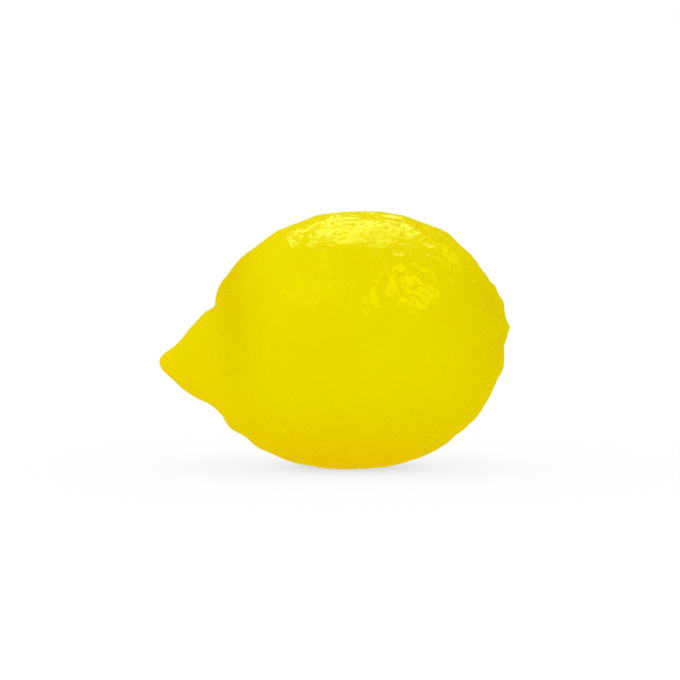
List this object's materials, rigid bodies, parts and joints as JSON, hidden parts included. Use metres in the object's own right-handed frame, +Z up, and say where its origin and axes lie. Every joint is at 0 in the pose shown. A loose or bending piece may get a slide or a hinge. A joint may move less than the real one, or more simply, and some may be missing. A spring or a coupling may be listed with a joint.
{
  "type": "lemon",
  "caption": "Whole ripe lemon lying on its side, with a pointed nipple end, a small stem nub and finely pitted yellow peel.",
  "frame": {"origin": "middle of the small flat spot under the belly that the fruit rests on", "axes": "+Z up, +X along the fruit toward its stem end, +Y away from the viewer of the picture"},
  "size_m": [0.0814, 0.0598, 0.0595],
  "materials": {
    "peel": "waxy semi-gloss, finely pitted citrus peel"
  },
  "bodies": {
    "root": {"lemon": "peel"}
  },
  "joints": []
}
